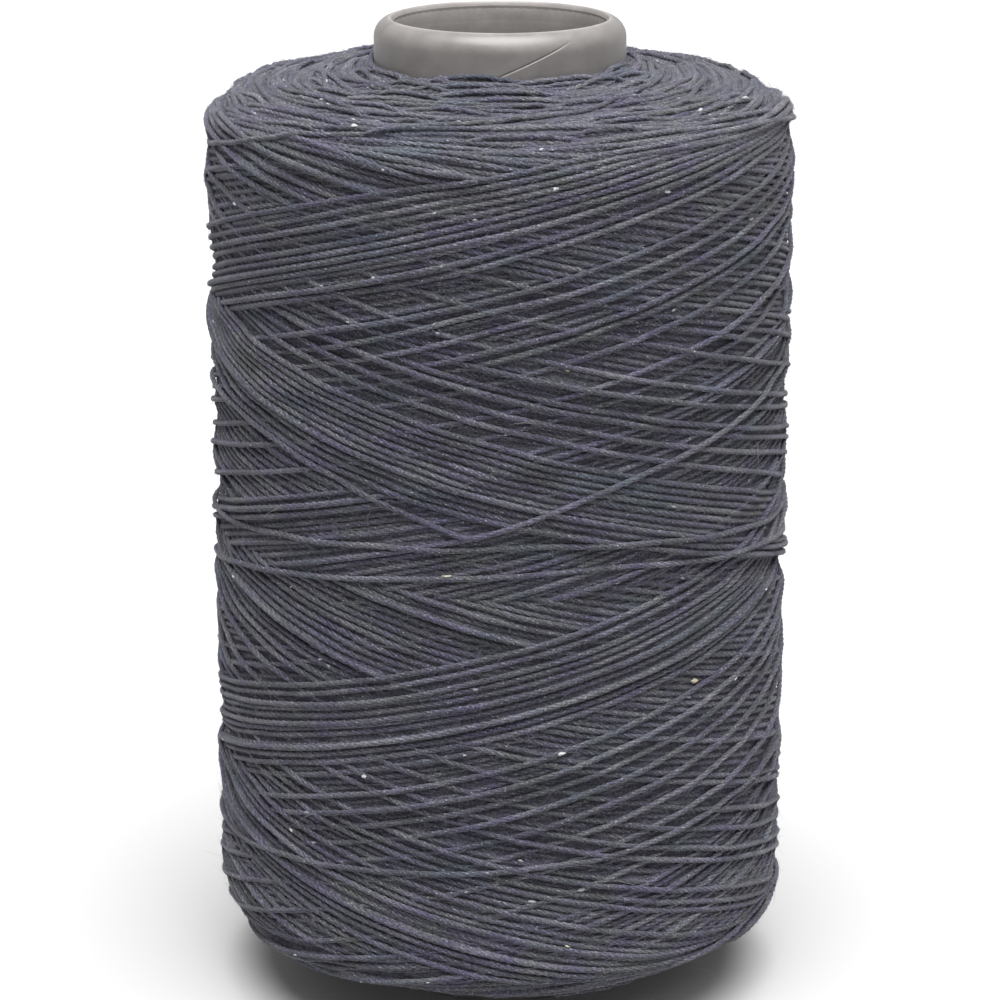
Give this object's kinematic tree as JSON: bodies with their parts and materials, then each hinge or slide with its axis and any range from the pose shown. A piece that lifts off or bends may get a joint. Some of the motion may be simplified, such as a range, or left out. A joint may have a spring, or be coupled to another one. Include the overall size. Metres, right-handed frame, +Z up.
{
  "type": "spool of thread",
  "caption": "Cross-wound spool of dark grey-blue plied cotton warp thread on a spiral-wound grey paper tube with a rounded top end and an open bore.",
  "frame": {"origin": "centre of the tube's plain-cut foot, in the plane the spool stands on", "axes": "+Z up the tube's axis from the plain foot to the rounded nose; -Y is the front shown in the reference view, +X is its right"},
  "size_m": [0.08, 0.08, 0.1371],
  "materials": {
    "paper_liner": "matt grey board",
    "paper_core": "raw grey board edges",
    "paper_cover": "satin calendered grey paper",
    "cotton_yarn": "matt plied cotton with loose fibres"
  },
  "bodies": {
    "root": {"tube_liner_ply": "paper_liner", "tube_inner_core_ply": "paper_core", "tube_outer_core_ply": "paper_core", "tube_cover_ply": "paper_cover", "yarn_winding": "cotton_yarn"}
  },
  "joints": []
}
